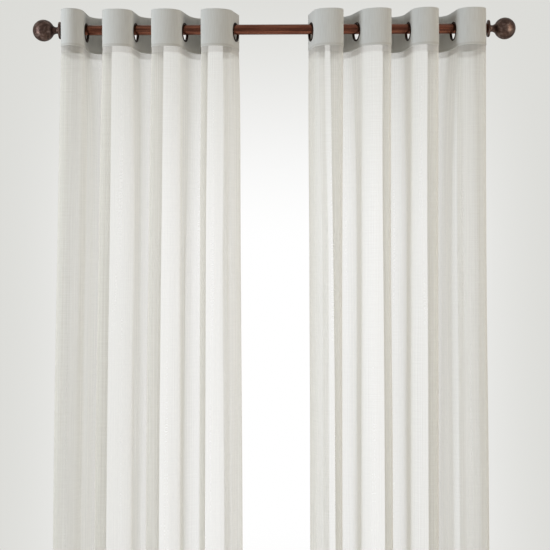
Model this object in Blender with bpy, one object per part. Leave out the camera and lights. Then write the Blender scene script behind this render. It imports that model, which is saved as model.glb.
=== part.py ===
# A pair of sheer voile curtain panels with eyelet headings, on a round rod with ball finials.
# Lengths are in metres unless a name or a note says otherwise. X runs along the rod, +Y goes
# back from the viewer, +Z is up, and the origin is the middle of the rod's axis.

from collections import namedtuple
from math import atan2, cos, pi, radians, sin, sqrt

import bmesh
import bpy
from mathutils import Matrix, Vector

MM = 0.001
GAP = 0.3 * MM  # between neighbouring pieces
MERGE_DISTANCE = 0.001 * MM

# Rod: a 1 inch tube.
ROD_RADIUS = 12.7 * MM
ROD_WALL = 1.2 * MM
ROD_LENGTH = 1082 * MM
ROD_SIDES = 28

# Finial, from the tube's end outwards.
SPIGOT_LENGTH = 28 * MM
SPIGOT_RADIUS = ROD_RADIUS - ROD_WALL - GAP
COLLAR_RADIUS = 21.5 * MM
COLLAR_LENGTH = 5 * MM
COLLAR_EDGE = 1.4 * MM
NECK_LENGTH = 15 * MM
NECK_FOOT_RADIUS = 11.6 * MM  # where the neck's cove leaves the collar
COVE_PULLS = (6.4 * MM, 8 * MM)  # radii that the cove is drawn towards, which waist it to 8.6 mm
COVE_STEPS = 5
BALL_RADIUS = 27.3 * MM
BALL_MEETS_NECK = 12.5 * MM  # radius of the circle where the neck's cove meets the ball
FINIAL_SIDES = 28
BALL_STEPS = 11

# Cloth panels, as cut and sewn: 50 x 84 inches each.
PANEL_WIDTH = 1270 * MM
PANEL_LENGTH = 2134 * MM
VOILE_THICKNESS = 1.5 * MM
HEADING_THICKNESS = 2.2 * MM
HEADING_TOP = 43 * MM
HEADING_HEIGHT = 93 * MM
HEADING_BOTTOM = HEADING_TOP - HEADING_HEIGHT
HEM_Z = HEADING_TOP - PANEL_LENGTH

# Eyelets are evenly spaced along the flat panel.
EYELET_PITCH = 158 * MM
EYELET_INNER_RADIUS = 20 * MM
EYELET_BARREL_RADIUS = 21.2 * MM
EYELET_FLANGE_RADIUS = 24.2 * MM
EYELET_CROWN_RADIUS = 22.2 * MM
EYELET_FLANGE_THICKNESS = 2.1 * MM
EYELET_LIP = 1.2 * MM  # how far the flange is thinner at the hole than at its crown
EYELET_SIDES = 16  # of the ring and of its hole in the cloth
HOLE_RADIUS = EYELET_BARREL_RADIUS + GAP
# The ring hangs on the rod by the flats of its hole.
EYELET_DROP = EYELET_INNER_RADIUS * cos(pi / EYELET_SIDES) - ROD_RADIUS - GAP

# Where each limb of cloth crosses the rod, a row for each eyelet, outer edge first.
# place: distance from the rod's middle at the heading, in mm.
# lean: how far the limb's front end leans outwards at the heading, in degrees.
# drift: how far outwards the limb has moved at the hem, in mm.
# hem_lean: its lean at the hem, in degrees.
# shift and turn: how far it moves outwards, and how much more it leans, as soon as it is clear
# of the stiff heading, in mm and degrees.
Limb = namedtuple("Limb", "place lean drift hem_lean shift turn", defaults=(0, 0))
LEFT_LIMBS = (
    Limb(place=528, lean=10, drift=36, hem_lean=9),
    Limb(place=478, lean=4, drift=32, hem_lean=20, shift=-20, turn=16),
    Limb(place=425, lean=12, drift=34, hem_lean=16),
    Limb(place=352.5, lean=9.5, drift=29, hem_lean=12, shift=-14, turn=3),
    Limb(place=297, lean=20, drift=26, hem_lean=27),
    Limb(place=228, lean=14, drift=15, hem_lean=2),
    Limb(place=178, lean=11, drift=14, hem_lean=11),
    Limb(place=99, lean=16, drift=0, hem_lean=30, turn=13),
)
RIGHT_LIMBS = (
    Limb(place=523, lean=15, drift=8, hem_lean=14),
    Limb(place=456, lean=11, drift=0, hem_lean=16, shift=-17, turn=5),
    Limb(place=404, lean=15, drift=-2, hem_lean=12),
    Limb(place=341.5, lean=11, drift=-5, hem_lean=2, turn=-7),
    Limb(place=287, lean=13, drift=4, hem_lean=15, shift=-4, turn=2),
    Limb(place=210, lean=20, drift=-8, hem_lean=2, shift=8, turn=-8),
    Limb(place=160, lean=24, drift=-2, hem_lean=12),
    Limb(place=94.5, lean=13, drift=-2, hem_lean=19, turn=4),
)
EYELETS = len(LEFT_LIMBS)
MARGIN = (PANEL_WIDTH - (EYELETS - 1) * EYELET_PITCH) / 2  # last eyelet to the panel's edge

# A limb is straight for this far each side of the rod line, at the heading and at the hem.
HEADING_STRAIGHT = 28 * MM
HEM_STRAIGHT = 20 * MM
STRAIGHT_SETTLES = 0.25  # share of the drop over which one becomes the other
# How quickly a limb gets its shift and turn, and how quickly its drift.
FREED_HASTE = 9
SETTLED_HASTE = 2
# The edges turn in behind the panel: radius of the turn, and how far it goes round.
OUTER_TURN_RADIUS = 26 * MM
OUTER_TURN = radians(78)
INNER_TURN_RADIUS = 14 * MM
INNER_TURN = radians(118)

FOLD_STEPS = 8  # faces round each fold
TURN_STEPS = 5
FIT_STEPS = 32  # for measuring a fold's length
FIT_ROUNDS = 40
# Heights of the voile's sections, as shares of its drop.
SECTION_SHARES = (0, 0.05, 0.14, 0.28, 0.45, 0.65, 0.83, 1)

# Colour (linear), roughness, metallic.
Finish = namedtuple("Finish", "colour roughness metallic")
FINISHES = {
    "voile": Finish((0.74, 0.74, 0.71), 0.8, 0),
    "heading": Finish((0.55, 0.56, 0.56), 0.75, 0),
    "eyelet": Finish((0.03, 0.018, 0.012), 0.35, 1),
    "rod": Finish((0.105, 0.032, 0.015), 0.35, 1),
    "finial": Finish((0.09, 0.06, 0.048), 0.4, 1),
}


def clear_scene():
    for old in list(bpy.data.objects):
        bpy.data.objects.remove(old, do_unlink=True)


def finish_material(name):
    finish = FINISHES[name]
    material = bpy.data.materials.new(name)
    material.use_nodes = True
    shader = material.node_tree.nodes["Principled BSDF"]
    shader.inputs["Base Color"].default_value = (*finish.colour, 1)
    shader.inputs["Roughness"].default_value = finish.roughness
    shader.inputs["Metallic"].default_value = finish.metallic
    return material


def add_object(name, mesh, material=None, parent=None):
    item = bpy.data.objects.new(name, mesh)
    if material and not mesh.materials:
        mesh.materials.append(material)
    item.parent = parent
    bpy.context.scene.collection.objects.link(item)
    return item


def to_mesh(name, bm, smooth_under=40):
    """Turns a bmesh into a mesh that is smooth but for its sharp corners."""
    bmesh.ops.recalc_face_normals(bm, faces=bm.faces)
    mesh = bpy.data.meshes.new(name)
    bm.to_mesh(mesh)
    bm.free()
    mesh.shade_smooth()
    mesh.set_sharp_from_angle(angle=radians(smooth_under))
    return mesh


def turned_mesh(name, profile, sides, closed):
    """Spins (distance along X, radius) points round the X axis. A closed profile is a loop."""
    bm = bmesh.new()
    points = [bm.verts.new((x, 0, radius)) for x, radius in profile]
    edges = [bm.edges.new(pair) for pair in zip(points, points[1:])]
    if closed:
        edges.append(bm.edges.new((points[-1], points[0])))
    bmesh.ops.spin(
        bm,
        geom=points + edges,
        axis=(1, 0, 0),
        cent=(0, 0, 0),
        angle=2 * pi,
        steps=sides,
        use_merge=True,
    )
    bmesh.ops.remove_doubles(bm, verts=bm.verts, dist=MERGE_DISTANCE)
    return to_mesh(name, bm)


# The rod and its finials


def rod_profile():
    half = ROD_LENGTH / 2
    bore = ROD_RADIUS - ROD_WALL
    return [(-half, ROD_RADIUS), (half, ROD_RADIUS), (half, bore), (-half, bore)]


def finial_profile():
    """From the spigot's end, over the collar and the coved neck, round the ball to its pole."""
    points = [(-SPIGOT_LENGTH, 0), (-SPIGOT_LENGTH, SPIGOT_RADIUS), (GAP, SPIGOT_RADIUS)]
    collar_end = GAP + COLLAR_LENGTH
    points += [(GAP, COLLAR_RADIUS - COLLAR_EDGE), (GAP + COLLAR_EDGE, COLLAR_RADIUS)]
    points += [(collar_end - COLLAR_EDGE, COLLAR_RADIUS)]
    points += [(collar_end, COLLAR_RADIUS - COLLAR_EDGE), (collar_end, NECK_FOOT_RADIUS)]
    neck_end = collar_end + NECK_LENGTH
    cove = (
        Vector((collar_end, NECK_FOOT_RADIUS)),
        Vector((collar_end + NECK_LENGTH / 3, COVE_PULLS[0])),
        Vector((neck_end - NECK_LENGTH / 3, COVE_PULLS[1])),
        Vector((neck_end, BALL_MEETS_NECK)),
    )
    points += [
        tuple(bezier_point(cove, step / COVE_STEPS)) for step in range(1, COVE_STEPS + 1)
    ]
    reach = sqrt(BALL_RADIUS**2 - BALL_MEETS_NECK**2)
    centre = neck_end + reach
    start = pi - atan2(BALL_MEETS_NECK, reach)
    for step in range(1, BALL_STEPS + 1):
        angle = start * (1 - step / BALL_STEPS)
        points.append((centre + BALL_RADIUS * cos(angle), BALL_RADIUS * sin(angle)))
    points[-1] = (centre + BALL_RADIUS, 0)
    return points


def bezier_point(controls, share):
    rest = 1 - share
    a, b, c, d = controls
    return (
        rest**3 * a
        + 3 * rest**2 * share * b
        + 3 * rest * share**2 * c
        + share**3 * d
    )


def make_rod():
    mesh = turned_mesh("rod", rod_profile(), ROD_SIDES, closed=True)
    return add_object("rod", mesh, finish_material("rod"))


def make_finials():
    mesh = turned_mesh("finial", finial_profile(), FINIAL_SIDES, closed=False)
    material = finish_material("finial")
    for name, side in (("finial_left", -1), ("finial_right", 1)):
        finial = add_object(name, mesh, material)
        finial.location.x = side * ROD_LENGTH / 2
        finial.rotation_euler.z = 0 if side > 0 else pi


# The folds. A section is a line of (outwards, back) points from the outer edge to the inner.


def eased(share, haste):
    """The folds move fastest just under the heading and settle towards the hem."""
    return 1 - (1 - share) ** haste


def limb_at(limb, share):
    """The limb's place on the rod line and its direction towards the back, at this drop."""
    freed = eased(share, FREED_HASTE)
    settled = eased(share, SETTLED_HASTE)
    place = Vector(((limb.place + limb.shift * freed + limb.drift * settled) * MM, 0))
    turned = limb.lean + limb.turn * freed
    lean = radians(turned + (limb.hem_lean - limb.lean - limb.turn) * settled)
    return place, Vector((-sin(lean), cos(lean)))


def fold_curve(start, start_way, end, end_way, length):
    """Control points of a fold of this length: its handles are lengthened until it fits."""
    shortest, longest = 0.0, length
    for _ in range(FIT_ROUNDS):
        handle = (shortest + longest) / 2
        controls = (start, start + handle * start_way, end - handle * end_way, end)
        points = [bezier_point(controls, step / FIT_STEPS) for step in range(FIT_STEPS + 1)]
        found = sum((b - a).length for a, b in zip(points, points[1:]))
        shortest, longest = (handle, longest) if found < length else (shortest, handle)
    return controls


def edge_turn(start, way, radius, turn, outwards, length):
    """Points of a free edge: an arc from start that turns in behind, then straight on."""
    side = Vector((way.y, -way.x)) * (1 if outwards else -1)
    centre = start + radius * side
    swept = min(turn, length / radius)
    points = []
    for step in range(1, TURN_STEPS + 1):
        angle = swept * step / TURN_STEPS
        points.append(centre - radius * cos(angle) * side + radius * sin(angle) * way)
    way_on = sin(swept) * side + cos(swept) * way
    rest = length - radius * swept
    points.append(points[-1] + max(rest, MM) * way_on)
    return points


def fold_section(limbs, share):
    settled = min(1, share / STRAIGHT_SETTLES)
    straight = HEADING_STRAIGHT + (HEM_STRAIGHT - HEADING_STRAIGHT) * settled
    placed = [limb_at(limb, share) for limb in limbs]
    free = MARGIN - straight
    place, back = placed[0]
    start = place + straight * back
    points = edge_turn(start, back, OUTER_TURN_RADIUS, OUTER_TURN, False, free)[::-1]
    for number, (place, back) in enumerate(placed):
        way = back if number % 2 else -back
        points += [place - straight * way, place + straight * way]
        if number + 1 < len(placed):
            next_place, next_back = placed[number + 1]
            next_way = -next_back if number % 2 else next_back
            curve = fold_curve(
                place + straight * way,
                way,
                next_place - straight * next_way,
                next_way,
                EYELET_PITCH - 2 * straight,
            )
            points += [bezier_point(curve, step / FOLD_STEPS) for step in range(1, FOLD_STEPS)]
    place, back = placed[-1]
    start = place + straight * back
    points += edge_turn(start, back, INNER_TURN_RADIUS, INNER_TURN, True, free)
    return points


def offset_sides(points, thickness):
    """The two faces of cloth of this thickness along a line of points."""
    sides = [], []
    for number, point in enumerate(points):
        before = points[max(number - 1, 0)]
        after = points[min(number + 1, len(points) - 1)]
        first = (point - before).normalized() if number else (after - point).normalized()
        last = (after - point).normalized() if number + 1 < len(points) else first
        way = (first + last).normalized()
        across = Vector((-way.y, way.x)) / way.dot(first)
        for side, sign in zip(sides, (1, -1)):
            side.append(point + across * (sign * thickness / 2))
    return sides


def cloth_mesh(name, levels, side, thickness):
    """A closed sheet through sections at the given heights: levels is (z, section) pairs."""
    bm = bmesh.new()
    loops = []
    for z, section in levels:
        faces = offset_sides(section, thickness)
        loops.append([[bm.verts.new((side * p.x, p.y, z)) for p in face] for face in faces])
    for upper, lower in zip(loops, loops[1:]):
        for face in (0, 1):
            for left in range(len(upper[face]) - 1):
                bm.faces.new(
                    (
                        upper[face][left],
                        upper[face][left + 1],
                        lower[face][left + 1],
                        lower[face][left],
                    )
                )
        for end in (0, -1):
            bm.faces.new((upper[0][end], upper[1][end], lower[1][end], lower[0][end]))
    for loop in (loops[0], loops[-1]):
        for left in range(len(loop[0]) - 1):
            bm.faces.new((loop[0][left], loop[0][left + 1], loop[1][left + 1], loop[1][left]))
    return to_mesh(name, bm, smooth_under=60)


# The pieces of one panel


def make_voile(name, limbs, side, material, parent):
    top = HEADING_BOTTOM - GAP
    levels = [
        (top + (HEM_Z - top) * share, fold_section(limbs, share)) for share in SECTION_SHARES
    ]
    mesh = cloth_mesh(name, levels, side, VOILE_THICKNESS)
    return add_object(name, mesh, material, parent)


def eyelet_frame(limb, side):
    """Where an eyelet's centre is, with its own X axis square to the cloth."""
    turn = -radians(limb.lean) if side < 0 else radians(limb.lean)
    place = (side * limb.place * MM, 0, -EYELET_DROP)
    return Matrix.Translation(place) @ Matrix.Rotation(turn, 4, "Z")


def make_heading(name, limbs, side, material, parent):
    section = fold_section(limbs, 0)
    levels = [(HEADING_TOP, section), (HEADING_BOTTOM, section)]
    heading = add_object(
        name, cloth_mesh(name, levels, side, HEADING_THICKNESS), material, parent
    )
    bm = bmesh.new()
    along_x = Matrix.Rotation(pi / 2, 4, "Y")
    for limb in limbs:
        bmesh.ops.create_cone(
            bm,
            cap_ends=True,
            segments=EYELET_SIDES,
            radius1=HOLE_RADIUS,
            radius2=HOLE_RADIUS,
            depth=4 * HEADING_THICKNESS,
            matrix=eyelet_frame(limb, side) @ along_x,
        )
    cutter = add_object(name + "_holes", to_mesh(name + "_holes", bm), parent=parent)
    cutter.hide_render = True
    cutter.display_type = "WIRE"
    holes = heading.modifiers.new("holes", "BOOLEAN")
    holes.operation = "DIFFERENCE"
    holes.solver = "EXACT"
    holes.object = cutter
    return heading


def eyelet_profile():
    """A spool: a barrel through the cloth with a crowned flange on each side of it."""
    inner = HEADING_THICKNESS / 2 + GAP
    crown = inner + EYELET_FLANGE_THICKNESS
    lip = crown - EYELET_LIP
    half = [
        (EYELET_BARREL_RADIUS, inner),
        (EYELET_FLANGE_RADIUS, inner),
        (EYELET_CROWN_RADIUS, crown),
        (EYELET_INNER_RADIUS, lip),
    ]
    points = [(across, radius) for radius, across in half]
    return points + [(-across, radius) for across, radius in reversed(points)]


def make_panel(word, limbs, side, materials, eyelet_mesh):
    panel = bpy.data.objects.new("panel_" + word, None)
    bpy.context.scene.collection.objects.link(panel)
    make_voile("voile_" + word, limbs, side, materials["voile"], panel)
    make_heading("heading_" + word, limbs, side, materials["heading"], panel)
    for number, limb in enumerate(limbs, 1):
        eyelet = add_object(f"eyelet_{word}_{number}", eyelet_mesh, parent=panel)
        eyelet.matrix_local = eyelet_frame(limb, side)


def main():
    clear_scene()
    make_rod()
    make_finials()
    materials = {name: finish_material(name) for name in ("voile", "heading", "eyelet")}
    eyelet_mesh = turned_mesh("eyelet", eyelet_profile(), EYELET_SIDES, closed=True)
    eyelet_mesh.materials.append(materials["eyelet"])
    make_panel("left", LEFT_LIMBS, -1, materials, eyelet_mesh)
    make_panel("right", RIGHT_LIMBS, 1, materials, eyelet_mesh)


main()
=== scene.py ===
from math import cos, pi, radians, sin, sqrt

import bmesh
import bpy
from mathutils import Matrix, Vector, noise


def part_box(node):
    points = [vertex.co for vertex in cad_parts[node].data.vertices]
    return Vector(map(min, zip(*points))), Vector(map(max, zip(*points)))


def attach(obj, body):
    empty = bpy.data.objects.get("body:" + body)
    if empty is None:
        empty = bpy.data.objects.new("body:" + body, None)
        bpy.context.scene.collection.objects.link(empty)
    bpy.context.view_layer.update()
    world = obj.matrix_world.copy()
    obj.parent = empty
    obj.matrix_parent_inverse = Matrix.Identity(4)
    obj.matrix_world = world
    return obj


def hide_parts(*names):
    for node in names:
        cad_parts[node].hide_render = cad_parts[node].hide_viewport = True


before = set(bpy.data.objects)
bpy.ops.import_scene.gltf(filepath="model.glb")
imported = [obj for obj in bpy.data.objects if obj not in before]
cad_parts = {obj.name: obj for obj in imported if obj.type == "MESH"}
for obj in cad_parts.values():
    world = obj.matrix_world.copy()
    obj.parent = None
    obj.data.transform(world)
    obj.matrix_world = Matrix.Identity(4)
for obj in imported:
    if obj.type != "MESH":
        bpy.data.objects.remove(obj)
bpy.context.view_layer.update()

mm = 0.001
gap = 0.3 * mm  # between neighbouring pieces
mergeDistance = 0.002 * mm

# Panel sizes as cut and sewn, in metres
panel = {
    "width": 1270 * mm,
    "length": 2134 * mm,
    "headingTop": 43 * mm,
    "headingHeight": 93 * mm,
    "eyeletPitch": 158 * mm,
}
headingBottom = panel["headingTop"] - panel["headingHeight"]
hemZ = panel["headingTop"] - panel["length"]

# A limb is where the cloth crosses the rod, a row for each eyelet from the outer edge inwards.
# place: mm from the rod's middle. lean: degrees that its front end leans outwards.
# drift: mm that it has moved outwards at the hem. hemLean: its lean there.
# shift, turn: mm that it moves outwards, and degrees that it leans more, once clear of the heading.
limbs = {
    "Left": [
        dict(place=528, lean=10, drift=36, hemLean=9, shift=0, turn=0),
        dict(place=478, lean=4, drift=32, hemLean=20, shift=-20, turn=16),
        dict(place=425, lean=12, drift=34, hemLean=16, shift=0, turn=0),
        dict(place=352.5, lean=9.5, drift=29, hemLean=12, shift=-14, turn=3),
        dict(place=297, lean=20, drift=26, hemLean=27, shift=0, turn=0),
        dict(place=228, lean=14, drift=15, hemLean=2, shift=0, turn=0),
        dict(place=178, lean=11, drift=14, hemLean=11, shift=0, turn=0),
        dict(place=99, lean=16, drift=0, hemLean=30, shift=0, turn=13),
    ],
    "Right": [
        dict(place=523, lean=15, drift=8, hemLean=14, shift=0, turn=0),
        dict(place=456, lean=11, drift=0, hemLean=16, shift=-17, turn=5),
        dict(place=404, lean=15, drift=-2, hemLean=12, shift=0, turn=0),
        dict(place=341.5, lean=11, drift=-5, hemLean=2, shift=0, turn=-7),
        dict(place=287, lean=13, drift=4, hemLean=15, shift=-4, turn=2),
        dict(place=210, lean=20, drift=-8, hemLean=2, shift=8, turn=-8),
        dict(place=160, lean=24, drift=-2, hemLean=12, shift=0, turn=0),
        dict(place=94.5, lean=13, drift=-2, hemLean=19, shift=0, turn=4),
    ],
}
sideSign = {"Left": -1, "Right": 1}
margin = (panel["width"] - (len(limbs["Left"]) - 1) * panel["eyeletPitch"]) / 2

folds = {
    "headingStraight": 28 * mm,  # the limb is straight this far each side of the rod
    "hemStraight": 20 * mm,
    "settlesBy": 0.25,  # share of the drop over which one becomes the other
    "freedHaste": 9,  # how quickly a limb gets its shift and turn
    "settledHaste": 2,  # and its drift
    "outerTurnRadius": 26 * mm,  # the free edges turn in behind
    "outerTurn": radians(78),
    "innerTurnRadius": 14 * mm,
    "innerTurn": radians(118),
    "curveSteps": 26,
    "turnSteps": 14,
    "fitSteps": 24,
    "fitRounds": 24,
}


# Scene helpers

def toLinear(hexColour):  # sRGB hex to the linear colour that a shader takes
    values = [int(hexColour[i:i + 2], 16) / 255 for i in (1, 3, 5)]
    return [v / 12.92 if v <= 0.04045 else ((v + 0.055) / 1.055) ** 2.4 for v in values] + [1]


def feed(tree, socket, value):  # a plain value, or another node's output
    if isinstance(value, bpy.types.NodeSocket):
        tree.links.new(value, socket)
    else:
        socket.default_value = value


def addNode(tree, kind, inputs=None, **settings):
    node = tree.nodes.new("ShaderNode" + kind)
    for name, value in settings.items():
        setattr(node, name, value)
    for name, value in (inputs or {}).items():
        feed(tree, node.inputs[name], value)
    return node


def calculate(tree, operation, *terms):
    return addNode(tree, "Math", dict(enumerate(terms)), operation=operation).outputs[0]


def rescale(tree, value, span, to=(0, 1), kind="SMOOTHSTEP"):  # from one range to another
    inputs = {"Value": value, "From Min": span[0], "From Max": span[1], "To Min": to[0], "To Max": to[1]}
    return addNode(tree, "MapRange", inputs, interpolation_type=kind).outputs[0]


def blend(tree, share, first, second):  # of two colours
    return addNode(tree, "Mix", {0: share, 6: first, 7: second}, data_type="RGBA").outputs[2]


def toneRamp(tree, value, stops):
    node = addNode(tree, "ValToRGB", {0: value})
    elements = node.color_ramp.elements
    while len(elements) < len(stops):
        elements.new(0.5)
    for element, (place, colour) in zip(elements, stops):
        element.position = place
        element.color = toLinear(colour)
    return node.outputs[0]


def newMaterial(name):
    material = bpy.data.materials.new(name)
    material.use_nodes = True
    material.node_tree.nodes.clear()
    return material, material.node_tree


def deselectAll():
    if bpy.context.object and bpy.context.object.mode != "OBJECT":
        bpy.ops.object.mode_set(mode="OBJECT")
    bpy.ops.object.select_all(action="DESELECT")


def editSelect(kind, test):  # selects only the verts, edges or faces that pass the test
    bm = bmesh.from_edit_mesh(bpy.context.object.data)
    for part in (bm.verts, bm.edges, bm.faces):
        for item in part:
            item.select = False
    for item in getattr(bm, kind):
        if test(item):
            item.select_set(True)
    bm.select_flush_mode()
    bmesh.update_edit_mesh(bpy.context.object.data)


def finishPiece(piece, name, material, smoothUnder=40):
    deselectAll()
    piece.select_set(True)
    bpy.context.view_layer.objects.active = piece
    bpy.ops.object.transform_apply(location=True, rotation=True, scale=True)
    bpy.ops.object.shade_smooth_by_angle(angle=radians(smoothUnder))
    piece.name = name
    piece.data.name = name
    piece.data.materials.clear()
    piece.data.materials.append(material)
    piece.select_set(False)
    return piece


def applyModifier(piece, name, kind, **settings):
    modifier = piece.modifiers.new(name, kind)
    for key, value in settings.items():
        setattr(modifier, key, value)
    bpy.context.view_layer.objects.active = piece
    bpy.ops.object.modifier_apply(modifier=name)


def clothPiece(name, places, faces, corners):  # corners: where each point lies on the flat cloth
    mesh = bpy.data.meshes.new(name)
    mesh.from_pydata(places, [], faces)
    layer = mesh.uv_layers.new(name="cloth")
    for loop in mesh.loops:
        layer.data[loop.index].uv = corners[loop.vertex_index]
    piece = bpy.data.objects.new(name, mesh)
    bpy.context.scene.collection.objects.link(piece)
    return piece


def nodeName(word, side, number=None):  # the CAD node that a piece stands for
    return word + "_" + side.lower() + (f"_{number}" if number else "")


# Fold geometry: a section is a line of (outwards, back) points from the outer edge inwards

def eased(share, haste):  # the folds move fastest just under the heading
    return 1 - (1 - share) ** haste


def limbAt(limb, share):
    freed = eased(share, folds["freedHaste"])
    settled = eased(share, folds["settledHaste"])
    place = Vector(((limb["place"] + limb["shift"] * freed + limb["drift"] * settled) * mm, 0))
    turned = limb["lean"] + limb["turn"] * freed
    lean = radians(turned + (limb["hemLean"] - limb["lean"] - limb["turn"]) * settled)
    return place, Vector((-sin(lean), cos(lean)))


def bezierPoint(controls, share):
    rest = 1 - share
    a, b, c, d = controls
    return rest**3 * a + 3 * rest**2 * share * b + 3 * rest * share**2 * c + share**3 * d


def foldCurve(start, startWay, end, endWay, length):  # handles grow until the fold has its length
    shortest, longest = 0.0, length
    for _ in range(folds["fitRounds"]):
        handle = (shortest + longest) / 2
        controls = (start, start + handle * startWay, end - handle * endWay, end)
        points = [bezierPoint(controls, n / folds["fitSteps"]) for n in range(folds["fitSteps"] + 1)]
        found = sum((b - a).length for a, b in zip(points, points[1:]))
        shortest, longest = (handle, longest) if found < length else (shortest, handle)
    return controls


def edgeTurn(start, way, radius, turn, outwards, length):  # a free edge's arc, then straight on
    side = Vector((way.y, -way.x)) * (1 if outwards else -1)
    centre = start + radius * side
    swept = min(turn, length / radius)
    points = []
    for n in range(1, folds["turnSteps"] + 1):
        angle = swept * n / folds["turnSteps"]
        points.append(centre - radius * cos(angle) * side + radius * sin(angle) * way)
    wayOn = sin(swept) * side + cos(swept) * way
    points.append(points[-1] + max(length - radius * swept, mm) * wayOn)
    return points


def foldSection(rows, share):
    settled = min(1, share / folds["settlesBy"])
    straight = folds["headingStraight"] + (folds["hemStraight"] - folds["headingStraight"]) * settled
    placed = [limbAt(limb, share) for limb in rows]
    free = margin - straight
    place, back = placed[0]
    start = place + straight * back
    points = edgeTurn(start, back, folds["outerTurnRadius"], folds["outerTurn"], False, free)[::-1]
    for number, (place, back) in enumerate(placed):
        way = back if number % 2 else -back
        points += [place - straight * way, place + straight * way]
        if number + 1 < len(placed):
            nextPlace, nextBack = placed[number + 1]
            nextWay = -nextBack if number % 2 else nextBack
            curve = foldCurve(
                place + straight * way, way, nextPlace - straight * nextWay, nextWay,
                panel["eyeletPitch"] - 2 * straight,
            )
            points += [bezierPoint(curve, n / folds["curveSteps"]) for n in range(1, folds["curveSteps"])]
    place, back = placed[-1]
    points += edgeTurn(
        place + straight * back, back, folds["innerTurnRadius"], folds["innerTurn"], True, free
    )
    return points


def alongSection(points, alongs):  # place and normal at each distance along the flat cloth
    reached = [0.0]
    for a, b in zip(points, points[1:]):
        reached.append(reached[-1] + (b - a).length)
    stretch = reached[-1] / panel["width"]
    found = []
    at = 0
    for along in alongs:
        target = along * stretch
        while at + 2 < len(points) and reached[at + 1] < target:
            at += 1
        a, b = points[at], points[at + 1]
        share = (target - reached[at]) / (reached[at + 1] - reached[at])
        before = points[max(at - 1, 0)]
        after = points[min(at + 2, len(points) - 1)]
        wayStart = ((b - a).normalized() + (a - before).normalized()).normalized() if at else b - a
        wayEnd = ((b - a).normalized() + (after - b).normalized()).normalized()
        way = wayStart.normalized().lerp(wayEnd, min(max(share, 0), 1)).normalized()
        found.append((a.lerp(b, share), Vector((-way.y, way.x))))
    return found


# Voile

voile = {
    "columnStep": 4 * mm,
    "rows": 84,
    "sideHem": 15 * mm,
    "bottomHem": 75 * mm,
    "layerGap": 0.9 * mm,  # between the cloth and its turned hem
    "hemTurn": [(0.35, 0.2), (0.5, 0.5), (0.35, 0.8)],  # past the edge and behind the cloth, in gaps
    "ripple": 1.7 * mm,  # soft unevenness down the folds
    "rippleWidth": 34 * mm,
    "rippleLength": 700 * mm,
    "fineRipple": 0.45 * mm,
    "fineRippleWidth": 11 * mm,
    "fineRippleLength": 260 * mm,
    "rippleGrows": 300 * mm,  # over this far down from the heading
    "seeds": {"Left": 3, "Right": 21},
    "fineSeedStep": 9,
}


def turnedSteps(length, hem, step):  # (place, how far it lies behind) along a cloth with a turned hem
    count = max(2, round(hem / step))
    turn = [(length + past * voile["layerGap"], behind) for past, behind in voile["hemTurn"]]
    back = [(length - hem * n / count, 1) for n in range(count + 1)]
    return turn + back


def rippleAt(along, drop, seed):
    wide = Vector((along / voile["rippleWidth"], drop / voile["rippleLength"], seed))
    fine = Vector((
        along / voile["fineRippleWidth"], drop / voile["fineRippleLength"], seed + voile["fineSeedStep"],
    ))
    grown = min(1, drop / voile["rippleGrows"])
    return grown * (voile["ripple"] * noise.noise(wide) + voile["fineRipple"] * noise.noise(fine))


def makeVoile(side, material):
    top = headingBottom - gap
    drop = top - hemZ
    count = round(panel["width"] / voile["columnStep"])
    ends = turnedSteps(panel["width"], voile["sideHem"], voile["columnStep"])
    columns = [(panel["width"] - place, back) for place, back in reversed(ends)]
    columns += [(panel["width"] * n / count, 0) for n in range(count + 1)]
    columns += ends
    rows = [(drop * n / voile["rows"], 0) for n in range(voile["rows"] + 1)]
    rows += turnedSteps(drop, voile["bottomHem"], drop / voile["rows"])
    sign = sideSign[side]
    alongs = sorted({place for place, back in columns})
    places, corners = [], []
    for down, behind in rows:
        section = alongSection(foldSection(limbs[side], min(down / drop, 1)), alongs)
        found = dict(zip(alongs, section))
        for along, over in columns:
            point, across = found[along]
            lift = rippleAt(along, down, voile["seeds"][side]) - (over + behind) * voile["layerGap"]
            point = point + across * lift
            places.append((sign * point.x, point.y, top - down))
            corners.append((along, down))
    wide = len(columns)
    faces = []
    for row in range(len(rows) - 1):
        for column in range(wide - 1):
            first = row * wide + column
            face = (first, first + wide, first + wide + 1, first + 1)
            faces.append(face if sign > 0 else face[::-1])
    piece = clothPiece("voile" + side, places, faces, corners)
    piece.data.shade_smooth()
    piece.data.materials.append(material)
    return piece


# Heading band

heading = {
    "thickness": 2.0 * mm,
    "holeRadius": 21.5 * mm,
    "patchHalf": 26 * mm,  # of the square of cloth round each hole
    "patchSteps": 10,
    "columnStep": 4 * mm,
    "rowsAbove": 5,
    "rowsBelow": 4,
    "edgeRound": 0.7 * mm,
    "edgeAngle": 50,  # degrees, a sharper edge is rounded
    "smoothUnder": 60,
    "ripple": 0.8 * mm,
    "rippleWidth": 40 * mm,
    "rippleHeight": 120 * mm,
    "rippleStart": 20 * mm,  # past the straight limb, over which ripples grow
    "seeds": {"Left": 40, "Right": 60},
}
rodRadius = (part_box("rod")[1].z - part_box("rod")[0].z) / 2
eyelet = {
    "innerRadius": 20 * mm,
    "barrelRadius": 21.2 * mm,
    "cadSides": 16,
    "sides": 48,
    # the flange's profile from the barrel round to the bore: radius, and height off the cloth, in mm
    "flange": [
        dict(radius=23.7, off=0), dict(radius=24.2, off=0.5), dict(radius=24.1, off=1.1),
        dict(radius=23.5, off=1.7), dict(radius=22.5, off=2.1), dict(radius=21.4, off=1.9),
        dict(radius=20.6, off=1.3), dict(radius=20.1, off=0.5),
    ],
    "boreRows": 3,
    "boreSlack": 0.3 * mm,
    "smoothUnder": 50,
}
eyeletDrop = eyelet["innerRadius"] * cos(pi / eyelet["cadSides"]) - rodRadius - gap


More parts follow.
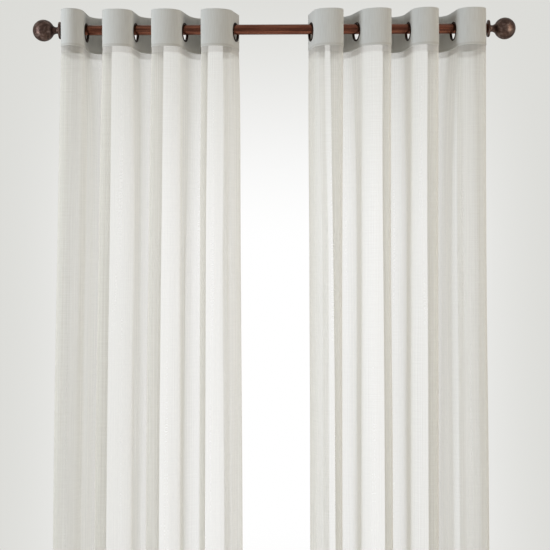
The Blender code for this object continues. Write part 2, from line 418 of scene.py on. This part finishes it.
def stepsOn(line, end):  # goes on from the line's last number to the end in steps of cloth
    start = line[-1]
    count = round((end - start) / heading["columnStep"])
    return [start + (end - start) * n / count for n in range(1, count + 1)]


def flatHeading():  # the flat band as (along, height) points and faces, with a round hole for each ring
    half, steps = heading["patchHalf"], heading["patchSteps"]
    centres = [margin + n * panel["eyeletPitch"] for n in range(len(limbs["Left"]))]
    alongs, patchStarts = [0.0], []
    for centre in centres:
        alongs += stepsOn(alongs, centre - half)
        patchStarts.append(len(alongs) - 1)
        alongs += [centre - half + 2 * half * n / steps for n in range(1, steps + 1)]
    alongs += stepsOn(alongs, panel["width"])
    low, high = -eyeletDrop - half, -eyeletDrop + half
    above = [panel["headingTop"] + (high - panel["headingTop"]) * n / heading["rowsAbove"]
             for n in range(heading["rowsAbove"])]
    middle = [high + (low - high) * n / steps for n in range(steps)]
    below = [low + (headingBottom - low) * n / heading["rowsBelow"]
             for n in range(heading["rowsBelow"] + 1)]
    heights = above + middle + below
    firstRow = len(above)
    points, index, faces = [], {}, []

    def pointAt(column, row):
        if (column, row) not in index:
            index[column, row] = len(points)
            points.append((alongs[column], heights[row]))
        return index[column, row]

    for column in range(len(alongs) - 1):
        patched = any(first <= column < first + steps for first in patchStarts)
        for row in range(len(heights) - 1):
            if patched and firstRow <= row < firstRow + steps:
                continue
            faces.append((pointAt(column, row), pointAt(column, row + 1),
                          pointAt(column + 1, row + 1), pointAt(column + 1, row)))
    for centre, first in zip(centres, patchStarts):
        rim = [(first + n, firstRow) for n in range(steps)]
        rim += [(first + steps, firstRow + n) for n in range(steps)]
        rim += [(first + steps - n, firstRow + steps) for n in range(steps)]
        rim += [(first, firstRow + steps - n) for n in range(steps)]
        square = [pointAt(*place) for place in rim]
        outer = square
        for share in (0.5, 1):  # two rings of faces from the square to the hole
            inner = []
            for corner in square:
                along, height = points[corner][0] - centre, points[corner][1] + eyeletDrop
                reach = sqrt(along**2 + height**2)
                radius = reach + (heading["holeRadius"] - reach) * share
                inner.append(len(points))
                points.append((centre + along / reach * radius, height / reach * radius - eyeletDrop))
            for n in range(len(rim)):
                after = (n + 1) % len(rim)
                faces.append((outer[n], inner[n], inner[after], outer[after]))
            outer = inner
    return points, faces


def makeHeading(side, material):
    points, faces = flatHeading()
    sign = sideSign[side]
    pitch = panel["eyeletPitch"]
    alongs = sorted({along for along, height in points})
    found = dict(zip(alongs, alongSection(foldSection(limbs[side], 0), alongs)))
    places, corners = [], []
    for along, height in points:
        point, across = found[along]
        offCentre = abs((along - margin + pitch / 2) % pitch - pitch / 2)
        free = min(max((offCentre - folds["headingStraight"]) / heading["rippleStart"], 0), 1)
        spot = (along / heading["rippleWidth"], height / heading["rippleHeight"], heading["seeds"][side])
        point = point + across * (free * heading["ripple"] * noise.noise(Vector(spot)))
        places.append((sign * point.x, point.y, height))
        corners.append((along, panel["headingTop"] - height))
    if sign < 0:
        faces = [face[::-1] for face in faces]
    piece = clothPiece("headingBand" + side, places, faces, corners)
    deselectAll()
    piece.select_set(True)
    applyModifier(piece, "twoLayers", "SOLIDIFY", thickness=heading["thickness"], offset=0,
                  use_even_offset=True)
    applyModifier(piece, "turnedEdge", "BEVEL", width=heading["edgeRound"], segments=2,
                  limit_method="ANGLE", angle_limit=radians(heading["edgeAngle"]))
    return finishPiece(piece, "headingBand" + side, material, heading["smoothUnder"])


# Eyelet rings

def modelEyelet(material):  # at the origin, its axis along X
    inner = heading["thickness"] / 2 + gap
    deselectAll()
    bpy.ops.mesh.primitive_cylinder_add(
        vertices=eyelet["sides"], radius=eyelet["barrelRadius"], depth=2 * inner,
        end_fill_type="NOTHING", rotation=(0, pi / 2, 0),
    )
    ring = bpy.context.object
    bpy.ops.object.transform_apply(rotation=True)
    bpy.ops.object.mode_set(mode="EDIT")
    for sign in (1, -1):
        reach, radius = inner, eyelet["barrelRadius"]
        editSelect("edges", lambda edge: all(sign * v.co.x > inner - mergeDistance for v in edge.verts))
        for step in eyelet["flange"]:
            across = inner + step["off"] * mm
            bpy.ops.mesh.extrude_edges_move(
                TRANSFORM_OT_translate={"value": (sign * (across - reach), 0, 0)}
            )
            grow = step["radius"] * mm / radius
            bpy.ops.transform.resize(value=(1, grow, grow), center_override=(0, 0, 0))
            reach, radius = across, step["radius"] * mm
    boreRadius = eyelet["flange"][-1]["radius"] * mm
    editSelect("edges", lambda edge: len(edge.link_faces) == 1)
    bpy.ops.mesh.bridge_edge_loops(number_cuts=eyelet["boreRows"], profile_shape_factor=0)
    # the bore's rows, which lie between the two flanges, go in to the true hole
    narrow = eyelet["innerRadius"] / boreRadius
    editSelect("verts", lambda v: abs(v.co.x) < inner - gap
               and Vector((v.co.y, v.co.z)).length < boreRadius + eyelet["boreSlack"])
    bpy.ops.transform.resize(value=(1, narrow, narrow), center_override=(0, 0, 0))
    bpy.ops.mesh.select_all(action="SELECT")
    bpy.ops.mesh.normals_make_consistent(inside=False)
    return finishPiece(ring, "eyeletRing", material, eyelet["smoothUnder"])


def placeEyelets(side, master):
    rings = []
    for number, limb in enumerate(limbs[side], 1):
        name = f"eyeletRing{side}{number}"
        ring = bpy.data.objects.new(name, master.data.copy())
        ring.data.name = name
        bpy.context.scene.collection.objects.link(ring)
        turn = sideSign[side] * radians(limb["lean"])
        place = (sideSign[side] * limb["place"] * mm, 0, -eyeletDrop)
        ring.data.transform(Matrix.Translation(place) @ Matrix.Rotation(turn, 4, "Z"))
        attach(ring, "root")
        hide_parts(nodeName("eyelet", side, number))
        rings.append(ring)
    return rings


# Rod and finials

rod = {"wall": 1.2 * mm, "sides": 72, "rimBevel": 0.4 * mm, "rimDepth": 0.1 * mm}
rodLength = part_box("rod")[1].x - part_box("rod")[0].x


def makeRod(material):
    deselectAll()
    bpy.ops.mesh.primitive_cylinder_add(
        vertices=rod["sides"], radius=rodRadius, depth=rodLength, rotation=(0, pi / 2, 0)
    )
    tube = bpy.context.object
    bpy.ops.object.transform_apply(rotation=True)
    bpy.ops.object.mode_set(mode="EDIT")
    bpy.ops.mesh.select_mode(type="FACE")
    editSelect("faces", lambda face: abs(face.normal.x) > 0.9)  # its two ends
    bpy.ops.mesh.inset(thickness=rod["wall"])
    bpy.ops.mesh.delete(type="FACE")
    bpy.ops.mesh.select_mode(type="EDGE")
    editSelect("edges", lambda edge: len(edge.link_faces) == 1)
    bpy.ops.mesh.bridge_edge_loops()
    rimFrom = rodRadius - rod["rimDepth"]
    editSelect("edges", lambda edge: abs(edge.verts[0].co.x - edge.verts[1].co.x) < mergeDistance
               and all(Vector((v.co.y, v.co.z)).length > rimFrom for v in edge.verts))
    bpy.ops.mesh.bevel(offset=rod["rimBevel"], segments=2)
    bpy.ops.mesh.select_all(action="SELECT")
    bpy.ops.mesh.normals_make_consistent(inside=False)
    return finishPiece(tube, "rodTube", material)


finial = {
    "spigotLength": 28 * mm,
    "collarRadius": 21.5 * mm,
    "collarLength": 5 * mm,
    "collarEdge": 1.4 * mm,
    "edgeSteps": 4,
    "neckLength": 15 * mm,
    "neckFootRadius": 11.6 * mm,  # where the neck's cove leaves the collar
    "covePulls": (6.4 * mm, 8 * mm),  # radii that the cove is drawn towards
    "coveSteps": 14,
    "ballRadius": 27.3 * mm,
    "ballMeetsNeck": 12.5 * mm,
    "ballClear": 0.3 * mm,  # the ball's outline begins this far past the neck
    "circlePoints": 96,
    "sides": 64,
    "seamMerge": 0.02 * mm,
    "smoothUnder": 35,
}


def makeFinial(side, material):
    sizes = finial
    start = rodLength / 2
    collarStart, collarEnd = start + gap, start + gap + sizes["collarLength"]
    neckEnd = collarEnd + sizes["neckLength"]
    reach = sqrt(sizes["ballRadius"] ** 2 - sizes["ballMeetsNeck"] ** 2)
    centre = neckEnd + reach
    deselectAll()
    bpy.ops.mesh.primitive_circle_add(  # the ball's outline, whose lower half goes
        vertices=sizes["circlePoints"], radius=sizes["ballRadius"], location=(centre, 0, 0),
        rotation=(pi / 2, pi / 2, 0),
    )
    turned = bpy.context.object
    bpy.ops.object.transform_apply(location=True, rotation=True)
    bpy.ops.object.mode_set(mode="EDIT")
    bpy.ops.mesh.select_mode(type="VERT")
    editSelect("verts", lambda v: v.co.z < -mergeDistance or v.co.x < neckEnd + sizes["ballClear"])
    bpy.ops.mesh.delete(type="VERT")
    bm = bmesh.from_edit_mesh(turned.data)
    at = min(bm.verts, key=lambda v: v.co.x).co.copy()
    cove = (
        Vector((neckEnd, sizes["ballMeetsNeck"])),
        Vector((neckEnd - sizes["neckLength"] / 3, sizes["covePulls"][1])),
        Vector((collarEnd + sizes["neckLength"] / 3, sizes["covePulls"][0])),
        Vector((collarEnd, sizes["neckFootRadius"])),
    )
    outline = [bezierPoint(cove, n / sizes["coveSteps"]) for n in range(sizes["coveSteps"] + 1)]
    edge, flat = sizes["collarEdge"], sizes["collarRadius"] - sizes["collarEdge"]
    angles = [pi / 2 * n / sizes["edgeSteps"] for n in range(sizes["edgeSteps"] + 1)]
    for angle in angles:  # the collar's two rounded corners
        outline.append(Vector((collarEnd - edge + edge * cos(angle), flat + edge * sin(angle))))
    for angle in angles:
        outline.append(Vector((collarStart + edge - edge * sin(angle), flat + edge * cos(angle))))
    spigot, spigotEnd = rodRadius - rod["wall"] - gap, start - sizes["spigotLength"]
    outline += [Vector((collarStart, spigot)), Vector((spigotEnd, spigot)), Vector((spigotEnd, 0))]
    editSelect("verts", lambda v: (v.co - at).length < mergeDistance)
    for point in outline:
        step = Vector((point.x, 0, point.y)) - at
        bpy.ops.mesh.extrude_vertices_move(TRANSFORM_OT_translate={"value": step})
        at = at + step
    bpy.ops.mesh.select_all(action="SELECT")
    bpy.ops.mesh.spin(steps=sizes["sides"], angle=2 * pi, center=(0, 0, 0), axis=(1, 0, 0))
    bpy.ops.mesh.select_all(action="SELECT")
    bpy.ops.mesh.remove_doubles(threshold=sizes["seamMerge"])
    if side == "Left":
        bpy.ops.transform.resize(value=(-1, 1, 1), center_override=(0, 0, 0))
    bpy.ops.mesh.normals_make_consistent(inside=False)
    return finishPiece(turned, "finial" + side, material, sizes["smoothUnder"])


# Materials

def streakNoise(tree, cloth, streak):  # its width across the cloth and its length down it, in mm
    scale = (1000 / streak["width"], 1000 / streak["length"], 1)
    place = addNode(tree, "Mapping", {"Vector": cloth, "Scale": scale}).outputs["Vector"]
    inputs = {"Vector": place, "Scale": 1, "Detail": streak["detail"], "Roughness": streak["rough"]}
    return addNode(tree, "TexNoise", inputs, noise_dimensions="2D").outputs[0]


def addBump(tree, height, strength, depth):
    inputs = {"Height": height, "Strength": strength, "Distance": depth * mm}
    return addNode(tree, "Bump", inputs).outputs["Normal"]


voileCloth = {
    "face": "#F0EEE7",
    "through": "#F1EEE6",  # light that comes through picks up the yarn's warmth
    "throughShare": 0.42,
    "cover": 0.32,  # share of a face-on look that the yarns stop
    "steepest": 0.2,  # cosine, a more slanting look meets no more yarns
    # Uneven yarns, and how much cover they add or take. Real yarns are 0.3 mm apart, and these are
    # drawn coarser so that they show.
    "slubs": dict(width=2.4, length=260, detail=3, rough=0.55, cover=0.025),
    "wefts": dict(width=60, length=1.6, detail=1, rough=0.5, cover=0.012),
    "crowding": dict(width=9, length=900, detail=1, rough=0.5, cover=0.035),
    "noiseRange": (0.25, 0.75),
    "turning": 15,  # mm of cloth turned under where it joins the heading
    "turningSoft": 2,  # mm each way, over which it ends
    "turningCover": 0.26,  # what the turned cloth adds
    "turningFace": "#E4E1DC",  # it shades itself
    "turningThrough": "#D4D0C9",
    "bump": 0.15,
    "bumpDepth": 0.4,  # mm
    "surface": {"Roughness": 0.75, "Specular IOR Level": 0.25, "Sheen Weight": 0.12, "Sheen Roughness": 0.5},
}


def voileMaterial():
    # Polyester voile, woven plain and open from fine twisted yarn: matt, sheer, pale, with faint
    # upright streaks where yarns crowd together.
    material, tree = newMaterial("voilePolyesterWoven")
    look = voileCloth
    cloth = addNode(tree, "UVMap", uv_map="cloth").outputs["UV"]
    down = addNode(tree, "SeparateXYZ", {0: cloth}).outputs[1]
    turningEnd = ((look["turning"] + look["turningSoft"]) * mm, (look["turning"] - look["turningSoft"]) * mm)
    turned = rescale(tree, down, turningEnd)
    faceTone = blend(tree, turned, toLinear(look["face"]), toLinear(look["turningFace"]))
    throughTone = blend(tree, turned, toLinear(look["through"]), toLinear(look["turningThrough"]))
    slubs = streakNoise(tree, cloth, look["slubs"])
    wefts = streakNoise(tree, cloth, look["wefts"])
    crowding = streakNoise(tree, cloth, look["crowding"])
    base, spread = look["cover"], look["slubs"]["cover"]
    cover = rescale(tree, slubs, look["noiseRange"], (base - spread, base + spread), "LINEAR")
    for value, spread in ((wefts, look["wefts"]["cover"]), (crowding, look["crowding"]["cover"])):
        added = rescale(tree, value, look["noiseRange"], (-spread, spread), "LINEAR")
        cover = calculate(tree, "ADD", cover, added)
    cover = calculate(tree, "ADD", cover, calculate(tree, "MULTIPLY", turned, look["turningCover"]))
    # a slanting look meets more yarns: open share to the power of 1 / cosine
    slant = addNode(tree, "LayerWeight", {"Blend": 0.5}).outputs["Facing"]
    cosine = calculate(tree, "MAXIMUM", calculate(tree, "SUBTRACT", 1, slant), look["steepest"])
    openShare = calculate(tree, "SUBTRACT", 1, cover)
    openShare = calculate(tree, "POWER", openShare, calculate(tree, "DIVIDE", 1, cosine))
    bump = addBump(tree, slubs, look["bump"], look["bumpDepth"])
    inputs = {"Base Color": faceTone, "Normal": bump, **look["surface"]}
    face = addNode(tree, "BsdfPrincipled", inputs).outputs[0]
    through = addNode(tree, "BsdfTranslucent", {"Color": throughTone, "Normal": bump}).outputs[0]
    yarn = addNode(tree, "MixShader", {0: look["throughShare"], 1: face, 2: through}).outputs[0]
    clear = addNode(tree, "BsdfTransparent").outputs[0]
    sheer = addNode(tree, "MixShader", {0: openShare, 1: yarn, 2: clear}).outputs[0]
    addNode(tree, "OutputMaterial", {"Surface": sheer})
    return material


headingCloth = {
    "tones": [(0.3, "#D8D7D2"), (0.65, "#DFDFDB")],
    "threads": dict(width=2, length=40, detail=3, rough=0.55),  # drawn coarser so that they show
    "through": "#A89C86",  # the stiffener lets little through, and that is warm
    "throughShare": 0.1,
    "seam": "#D2D0CA",  # shade in the dip along the stitches
    "stitchUp": 4,  # mm, stitch line above the band's lower edge
    "seamWidth": 4,
    "seamCore": 0.2,  # share of that width that is shaded in full
    "pucker": -0.8,
    "bump": 0.25,
    "bumpDepth": 0.5,  # mm
    "surface": {"Roughness": 0.75, "Specular IOR Level": 0.25, "Sheen Weight": 0.1},
}


def headingMaterial():
    # The same voile doubled over a bonded stiffener: matt and close to opaque.
    material, tree = newMaterial("headingVoileStiffened")
    look = headingCloth
    cloth = addNode(tree, "UVMap", uv_map="cloth").outputs["UV"]
    threads = streakNoise(tree, cloth, look["threads"])
    down = addNode(tree, "SeparateXYZ", {0: cloth}).outputs[1]
    line = panel["headingHeight"] - look["stitchUp"] * mm
    off = calculate(tree, "ABSOLUTE", calculate(tree, "SUBTRACT", down, line))
    wide = look["seamWidth"] * mm
    seam = rescale(tree, off, (look["seamCore"] * wide, wide), (1, 0))
    tone = blend(tree, seam, toneRamp(tree, threads, look["tones"]), toLinear(look["seam"]))
    height = calculate(tree, "ADD", calculate(tree, "MULTIPLY", seam, look["pucker"]), threads)
    bump = addBump(tree, height, look["bump"], look["bumpDepth"])
    inputs = {"Base Color": tone, "Normal": bump, **look["surface"]}
    face = addNode(tree, "BsdfPrincipled", inputs).outputs[0]
    inputs = {"Color": toLinear(look["through"]), "Normal": bump}
    through = addNode(tree, "BsdfTranslucent", inputs).outputs[0]
    both = addNode(tree, "MixShader", {0: look["throughShare"], 1: face, 2: through}).outputs[0]
    addNode(tree, "OutputMaterial", {"Surface": both})
    return material


# Steel tube, bronze lacquer rubbed along its length: reddish, satin, with long streaks
rodFinish = {
    "tones": [(0.3, "#4E281B"), (0.5, "#864C38"), (0.72, "#B0745A")],
    "grain": (90, 2.5, 2.5),  # mm along X, Y and Z
    "noise": {"Detail": 4, "Roughness": 0.6},
    "roughness": (0.16, 0.3),
    "bump": 0.15,
    "bumpDepth": 0.2,
    "surface": {"Metallic": 0.75, "Coat Weight": 0.2, "Coat Roughness": 0.15},
}

# Cast resin, brushed with bronze lacquer and wiped: mottled, semi-gloss
finialFinish = {
    "tones": [(0.3, "#33231E"), (0.52, "#674F46"), (0.78, "#A69188")],
    "grain": (16, 16, 16),
    "noise": {"Detail": 4, "Roughness": 0.55, "Distortion": 0.8},
    "roughness": (0.22, 0.45),
    "bump": 0.1,
    "bumpDepth": 0.5,
    "surface": {"Metallic": 0.7},
}

# Pressed steel, dark bronze lacquer: satin, almost black in shade
eyeletFinish = {
    "tones": [(0.35, "#1C120D"), (0.75, "#4A3226")],
    "grain": (3, 3, 3),
    "noise": {"Detail": 3, "Roughness": 0.6},
    "roughness": (0.3, 0.45),
    "surface": {"Metallic": 0.9},
}


def lacquerMaterial(name, look):
    material, tree = newMaterial(name)
    scale = [1000 / size for size in look["grain"]]
    place = addNode(tree, "TexCoord").outputs["Object"]
    place = addNode(tree, "Mapping", {"Vector": place, "Scale": scale}).outputs["Vector"]
    grain = addNode(tree, "TexNoise", {"Vector": place, "Scale": 1, **look["noise"]}).outputs[0]
    inputs = {
        "Base Color": toneRamp(tree, grain, look["tones"]),
        "Roughness": rescale(tree, grain, (0, 1), look["roughness"], "LINEAR"),
        **look["surface"],
    }
    if "bump" in look:
        inputs["Normal"] = addBump(tree, grain, look["bump"], look["bumpDepth"])
    face = addNode(tree, "BsdfPrincipled", inputs).outputs[0]
    addNode(tree, "OutputMaterial", {"Surface": face})
    return material


# Studio

floorDisc = {
    "colour": "#E9E9E6",
    "grain": 3,
    "roughness": (0.75, 0.9),
    "radius": 2.4,
    "fadesFrom": 0.55,  # share of the radius
    "gap": 6 * mm,  # under the hem
    "sides": 96,
}


def floorMaterial():
    material, tree = newMaterial("floorPaleMatt")
    place = addNode(tree, "TexCoord").outputs["Object"]
    noiseInputs = {"Vector": place, "Scale": floorDisc["grain"], "Detail": 2}
    grain = addNode(tree, "TexNoise", noiseInputs).outputs[0]
    rough = rescale(tree, grain, (0, 1), floorDisc["roughness"], "LINEAR")
    inputs = {"Base Color": toLinear(floorDisc["colour"]), "Roughness": rough}
    face = addNode(tree, "BsdfPrincipled", inputs).outputs[0]
    away = addNode(tree, "VectorMath", {0: place}, operation="LENGTH").outputs["Value"]
    fade = rescale(tree, away, (floorDisc["fadesFrom"] * floorDisc["radius"], floorDisc["radius"]))
    clear = addNode(tree, "BsdfTransparent").outputs[0]
    fading = addNode(tree, "MixShader", {0: fade, 1: face, 2: clear}).outputs[0]
    addNode(tree, "OutputMaterial", {"Surface": fading})
    return material


def makeFloor():
    deselectAll()
    bpy.ops.mesh.primitive_circle_add(vertices=floorDisc["sides"], radius=floorDisc["radius"],
                                      fill_type="NGON", location=(0, 0, hemZ - floorDisc["gap"]))
    floor = bpy.context.object
    floor.name = "floor"
    floor.data.materials.append(floorMaterial())


lamps = [
    dict(name="leftBox", place=(-2.5, -1.3, -0.2), target=(0, 0, -0.6), width=1.3, height=2.2,
         power=54, colour="#EEF4FA", inGloss=True),
    dict(name="rightBox", place=(2.2, -1.5, -0.3), target=(0, 0, -0.7), width=1.3, height=2.4,
         power=24, colour="#FFF3E2", inGloss=True),
    # out of the gloss, or it draws a white line along the rod's underside
    dict(name="backBox", place=(0.1, 1.3, -0.3), target=(0, 0, -0.4), width=0.9, height=1.6,
         power=12, colour="#F6F9FF", inGloss=False),
]


def addLamp(lamp):
    data = bpy.data.lights.new(lamp["name"], "AREA")
    data.shape = "RECTANGLE"
    data.size = lamp["width"]
    data.size_y = lamp["height"]
    data.energy = lamp["power"]
    data.color = toLinear(lamp["colour"])[:3]
    light = bpy.data.objects.new(lamp["name"], data)
    bpy.context.scene.collection.objects.link(light)
    light.location = lamp["place"]
    way = Vector(lamp["target"]) - Vector(lamp["place"])
    light.rotation_euler = way.to_track_quat("-Z", "Y").to_euler()
    light.visible_camera = False
    light.visible_glossy = lamp["inGloss"]


# The light all round, by the way that a look goes: x to the right, y ahead, z up, each from -1 to 1.
# A pair of numbers is where a change begins and where it ends.
ground = {
    "tone": "#DCDCD8",  # plain pale grey, the same all round
    "glow": "#FFFFFF",  # a soft light behind the cloth, so that it shows how sheer it is
    "glowSides": (0.24, 0.06),  # x, to the left and to the right
    "glowTop": (0.26, 0.02),
    "glowFoot": (-0.4, -0.2),
    "glowAhead": (0.3, 0.8),
    "ambient": 0.36,  # share of the ground's brightness that lights the part
    "overhead": 1.7,  # times that share from above
    "overheadFrom": (0.3, 0.8),
    "eyeLevel": 0.25,  # times that share at eye level in front, for the dark line along round metal
    "levelBand": (0.16, 0.06),
    "frontBand": (-0.3, -0.7),
}


def makeWorld():
    world = bpy.data.worlds.new("studioGround")
    world.use_nodes = True
    bpy.context.scene.world = world
    tree = world.node_tree
    tree.nodes.clear()
    way = addNode(tree, "SeparateXYZ", {0: addNode(tree, "TexCoord").outputs["Generated"]})
    across, ahead, up = way.outputs
    glow = rescale(tree, calculate(tree, "ABSOLUTE", across), ground["glowSides"])
    for value, edge in ((up, "glowTop"), (up, "glowFoot"), (ahead, "glowAhead")):
        glow = calculate(tree, "MULTIPLY", glow, rescale(tree, value, ground[edge]))
    seen = blend(tree, glow, toLinear(ground["tone"]), toLinear(ground["glow"]))
    shown = addNode(tree, "Background", {"Color": seen}).outputs[0]
    overhead = rescale(tree, up, ground["overheadFrom"], (1, ground["overhead"]))
    level = rescale(tree, calculate(tree, "ABSOLUTE", up), ground["levelBand"])
    front = rescale(tree, ahead, ground["frontBand"], (0, 1 - ground["eyeLevel"]))
    dimmed = calculate(tree, "SUBTRACT", 1, calculate(tree, "MULTIPLY", level, front))
    strength = calculate(tree, "MULTIPLY", overhead, ground["ambient"])
    strength = calculate(tree, "MULTIPLY", strength, dimmed)
    lights = addNode(tree, "Background", {"Color": seen, "Strength": strength}).outputs[0]
    direct = addNode(tree, "LightPath").outputs["Is Camera Ray"]
    both = addNode(tree, "MixShader", {0: direct, 1: lights, 2: shown}).outputs[0]
    addNode(tree, "OutputWorld", {"Surface": both})


viewpoint = {
    "pixel": 2.54 * mm,  # at the rod
    "imageSize": 550,
    "distance": 3.05,
    "place": (-0.9 * mm, -3.05, -0.6235),
    "roll": -0.27,  # degrees
    "sensor": 36,
}


def makeCamera():
    data = bpy.data.cameras.new("camera")
    data.sensor_width = viewpoint["sensor"]
    data.lens = viewpoint["sensor"] * viewpoint["distance"] / (viewpoint["imageSize"] * viewpoint["pixel"])
    camera = bpy.data.objects.new("camera", data)
    bpy.context.scene.collection.objects.link(camera)
    camera.location = viewpoint["place"]
    level = Matrix.Rotation(pi / 2, 3, "X")
    camera.rotation_euler = (level @ Matrix.Rotation(radians(viewpoint["roll"]), 3, "Z")).to_euler()
    bpy.context.scene.camera = camera


# The build

makeCamera()
makeFloor()
makeWorld()
for lamp in lamps:
    addLamp(lamp)
bpy.context.scene.view_settings.view_transform = "Standard"
print("studio ready")

rodTube = makeRod(lacquerMaterial("rodBronzeLacquerRubbed", rodFinish))
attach(rodTube, "root")
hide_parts("rod")
bronze = lacquerMaterial("finialBronzeLacquerMottled", finialFinish)
for side in limbs:
    knob = makeFinial(side, bronze)
    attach(knob, "root")
    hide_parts(nodeName("finial", side))
print("rod and finials ready")

masterRing = modelEyelet(lacquerMaterial("eyeletBronzeLacquerPressed", eyeletFinish))
stiffCloth = headingMaterial()
sheerCloth = voileMaterial()
for side in limbs:
    rings = placeEyelets(side, masterRing)
    band = makeHeading(side, stiffCloth)
    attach(band, "root")
    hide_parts(nodeName("heading", side))
    drape = makeVoile(side, sheerCloth)
    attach(drape, "root")
    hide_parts(nodeName("voile", side))
    print("panel ready:", side)
bpy.data.objects.remove(masterRing, do_unlink=True)
